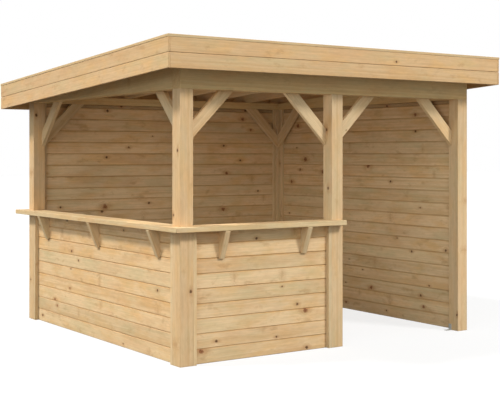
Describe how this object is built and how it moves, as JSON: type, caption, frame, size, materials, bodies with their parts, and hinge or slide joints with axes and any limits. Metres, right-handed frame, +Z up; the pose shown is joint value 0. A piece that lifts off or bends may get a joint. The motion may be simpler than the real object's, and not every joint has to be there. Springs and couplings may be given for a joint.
{
  "type": "wooden garden bar",
  "caption": "Open timber garden bar with a mono-pitch roof, square braced posts, boarded low walls under an L-shaped counter, two full boarded walls and an open entrance.",
  "frame": {"origin": "on the ground, under the middle of the roof's outer edges (bottom centre of the bounding box)", "axes": "+X runs along the front to the right for someone facing the entrance, +Y from the front to the back, +Z up"},
  "size_m": [3.426, 3.296, 2.464],
  "materials": {
    "frame_timber": "planed pressure-treated softwood",
    "brace_timber": "planed pressure-treated softwood",
    "wall_boards": "planed tongue-and-groove softwood boards",
    "counter_timber": "planed softwood, eased edges",
    "roof_timber": "planed softwood",
    "roof_boards": "planed tongue-and-groove softwood boards",
    "roofing_felt": "matt mineral-surfaced bitumen sheet",
    "fascia_boards": "planed pressure-treated softwood",
    "edge_battens": "planed pressure-treated softwood",
    "galvanised_steel": "dull hot-dip galvanised sheet"
  },
  "bodies": {
    "root": {"post_front_left": "frame_timber", "post_front_middle": "frame_timber", "post_front_right": "frame_timber", "post_back_left": "frame_timber", "post_back_right": "frame_timber", "beam_front": "frame_timber", "beam_back": "frame_timber", "beam_left": "frame_timber", "beam_right": "frame_timber", "braces_front": "brace_timber", "braces_left": "brace_timber", "braces_back": "brace_timber", "braces_right": "brace_timber", "wall_left_low": "wall_boards", "wall_front_low": "wall_boards", "wall_back": "wall_boards", "wall_right": "wall_boards", "beads_left": "brace_timber", "beads_front": "brace_timber", "beads_back": "brace_timber", "beads_right": "brace_timber", "counter_left": "counter_timber", "counter_front": "counter_timber", "counter_brackets_left": "brace_timber", "counter_brackets_front": "brace_timber", "rafters": "roof_timber", "verge_rafters": "roof_timber", "rim_front": "roof_timber", "rim_back": "roof_timber", "roof_boards": "roof_boards", "roof_felt": "roofing_felt", "fascia_front": "fascia_boards", "fascia_back": "fascia_boards", "fascia_left": "fascia_boards", "fascia_right": "fascia_boards", "edge_batten_front": "edge_battens", "edge_batten_back": "edge_battens", "edge_batten_left": "edge_battens", "edge_batten_right": "edge_battens", "post_angles": "galvanised_steel"}
  },
  "joints": []
}
